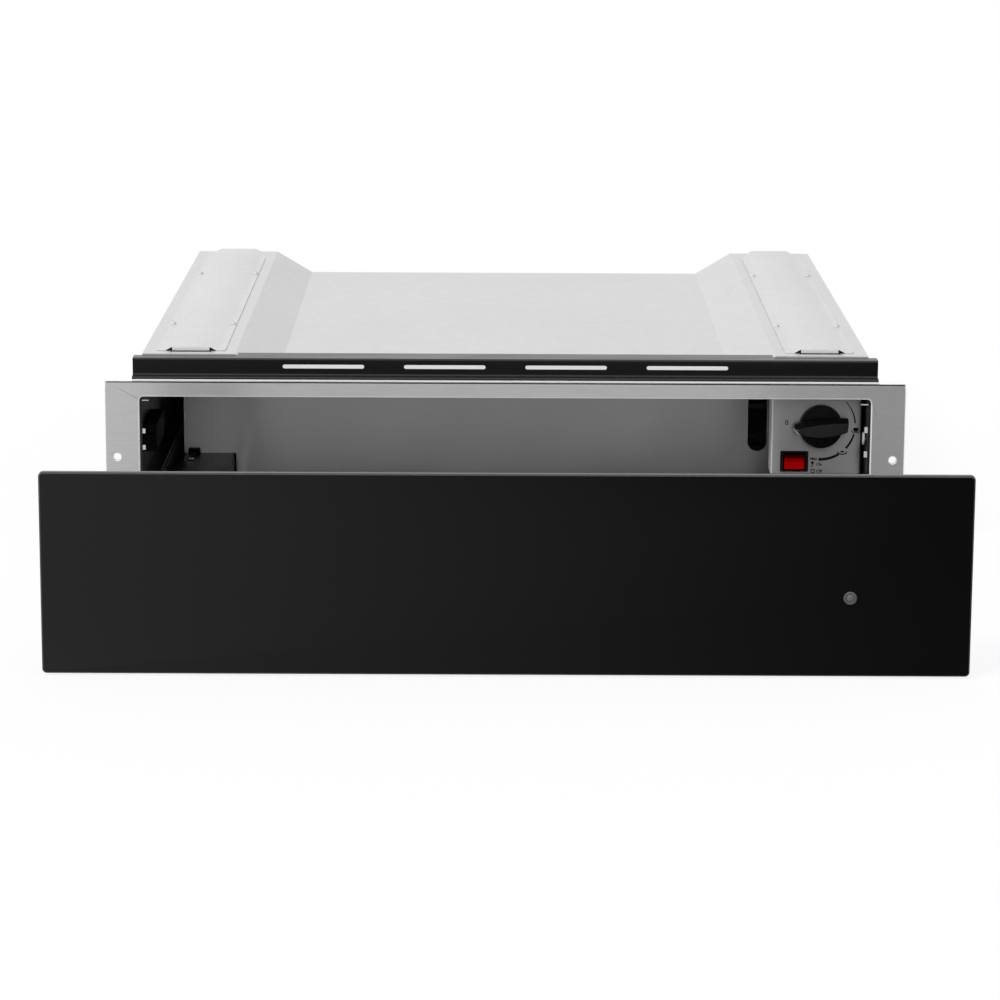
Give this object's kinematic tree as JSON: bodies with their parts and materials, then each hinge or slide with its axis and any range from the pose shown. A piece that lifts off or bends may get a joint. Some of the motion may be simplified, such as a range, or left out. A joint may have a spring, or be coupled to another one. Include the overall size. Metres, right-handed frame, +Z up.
{
  "type": "built-in warming drawer",
  "caption": "Low steel casing with a glass-fronted pull-out warming drawer on telescopic slides, a thermostat knob and a lit rocker switch.",
  "frame": {"origin": "centre of the casing's footprint, on its underside", "axes": "+X to the right seen from the front, +Y towards the back, +Z up; the drawer opens along -Y and is drawn fully open"},
  "size_m": [0.595, 0.8861, 0.1443],
  "materials": {
    "galvanised_steel": "zinc-coated sheet, satin",
    "stainless_steel": "fine brushed stainless sheet",
    "black_steel": "satin black powder coat",
    "carrier_steel": "dark grey paint",
    "black_glass": "toughened, black printed on the back, polished",
    "clear_plastic": "clear moulded",
    "black_plastic": "fine moulded texture",
    "red_lens": "translucent red",
    "zinc_plate": "bright zinc plate",
    "ball_steel": "polished balls in a plated cage",
    "silicone": "matt silicone",
    "mineral_wool": "pressed board",
    "aluminised_sheet": "dull reflective",
    "heater_sheath": "heat-darkened sheath",
    "brass": "plain",
    "copper": "plain copper",
    "cream_plastic": "heat-proof moulding",
    "grey_sleeve": "braided sleeve"
  },
  "bodies": {
    "casing": {"base_plate": "galvanised_steel", "side_wall_left": "galvanised_steel", "side_wall_right": "galvanised_steel", "top_sheet": "galvanised_steel", "rear_panel": "galvanised_steel", "front_frame": "stainless_steel", "vent_strip": "black_steel", "rest_rail_left": "galvanised_steel", "rest_rail_right": "galvanised_steel", "rest_rail_rivets": "zinc_plate", "casing_rivets": "zinc_plate", "cavity_ceiling": "galvanised_steel", "insulation_board": "mineral_wool", "control_plate": "stainless_steel", "control_housing": "galvanised_steel", "thermostat_body": "cream_plastic", "thermostat_screws": "zinc_plate", "switch_body": "black_plastic", "switch_terminals": "brass", "slide_outer_right": "zinc_plate", "slide_outer_left": "zinc_plate", "heater_reflector": "aluminised_sheet", "heater_element": "heater_sheath", "heater_clips": "cream_plastic", "thermal_cutout": "cream_plastic", "fan_frame": "black_plastic", "terminal_block": "cream_plastic", "cord_gland": "black_plastic", "gland_nut": "black_plastic", "wiring_loom": "grey_sleeve", "heater_leads": "grey_sleeve", "capillary_tube": "copper", "bulb_clips": "cream_plastic", "latch_body": "black_plastic"},
    "drawer": {"front_glass": "black_glass", "front_carrier": "carrier_steel", "carrier_cover": "stainless_steel", "indicator_lens": "clear_plastic", "drawer_side_right": "black_steel", "drawer_side_left": "black_steel", "drawer_floor": "stainless_steel", "drawer_back_wall": "stainless_steel", "ledge_stop": "black_plastic", "anti_slip_mat": "silicone", "front_brackets": "zinc_plate", "drawer_screws": "zinc_plate", "front_buffers": "silicone", "slide_inner_right": "zinc_plate", "slide_inner_left": "zinc_plate"},
    "slide_middle_left": {"slide_middle_left": "zinc_plate"},
    "slide_middle_right": {"slide_middle_right": "zinc_plate"},
    "outer_cage_left": {"outer_balls_left": "ball_steel"},
    "outer_cage_right": {"outer_balls_right": "ball_steel"},
    "inner_cage_left": {"inner_balls_left": "ball_steel"},
    "inner_cage_right": {"inner_balls_right": "ball_steel"},
    "knob": {"control_knob": "black_plastic", "thermostat_spindle": "zinc_plate"},
    "rocker": {"rocker_button": "red_lens"},
    "fan_rotor": {"fan_impeller": "black_plastic"},
    "latch_plunger": {"latch_plunger": "black_plastic"}
  },
  "joints": [
    {"name": "drawer_slide", "type": "slide", "parent": "casing", "child": "drawer", "axis": [0, 1, 0], "range_m": [0, 0.335]},
    {"name": "slide_middle_left_travel", "type": "slide", "parent": "casing", "child": "slide_middle_left", "axis": [0, 1, 0], "range_m": [0, 0.1675]},
    {"name": "outer_cage_left_travel", "type": "slide", "parent": "casing", "child": "outer_cage_left", "axis": [0, 1, 0], "range_m": [0, 0.08375]},
    {"name": "inner_cage_left_travel", "type": "slide", "parent": "casing", "child": "inner_cage_left", "axis": [0, 1, 0], "range_m": [0, 0.25125]},
    {"name": "slide_middle_right_travel", "type": "slide", "parent": "casing", "child": "slide_middle_right", "axis": [0, 1, 0], "range_m": [0, 0.1675]},
    {"name": "outer_cage_right_travel", "type": "slide", "parent": "casing", "child": "outer_cage_right", "axis": [0, 1, 0], "range_m": [0, 0.08375]},
    {"name": "inner_cage_right_travel", "type": "slide", "parent": "casing", "child": "inner_cage_right", "axis": [0, 1, 0], "range_m": [0, 0.25125]},
    {"name": "knob_turn", "type": "hinge", "parent": "casing", "child": "knob", "pos_m": [0.2354, -0.237, 0.088], "axis": [0, 1, 0], "range_deg": [0, 270]},
    {"name": "rocker_tilt", "type": "hinge", "parent": "casing", "child": "rocker", "pos_m": [0.2163, -0.2345, 0.0608], "axis": [-1, 0, 0], "range_deg": [0, 14]},
    {"name": "fan_spin", "type": "hinge", "parent": "casing", "child": "fan_rotor", "pos_m": [0.15, 0.25, 0.062], "axis": [0, -1, 0], "continuous": true},
    {"name": "plunger_press", "type": "slide", "parent": "casing", "child": "latch_plunger", "axis": [0, 1, 0], "range_m": [0, 0.003], "stiffness_N_per_m": 300, "springref_m": -0.002}
  ],
  "couplings": [
    {"joint": "slide_middle_left_travel", "follows": "drawer_slide", "ratio": 0.5},
    {"joint": "outer_cage_left_travel", "follows": "drawer_slide", "ratio": 0.25},
    {"joint": "inner_cage_left_travel", "follows": "drawer_slide", "ratio": 0.75},
    {"joint": "slide_middle_right_travel", "follows": "drawer_slide", "ratio": 0.5},
    {"joint": "outer_cage_right_travel", "follows": "drawer_slide", "ratio": 0.25},
    {"joint": "inner_cage_right_travel", "follows": "drawer_slide", "ratio": 0.75}
  ]
}
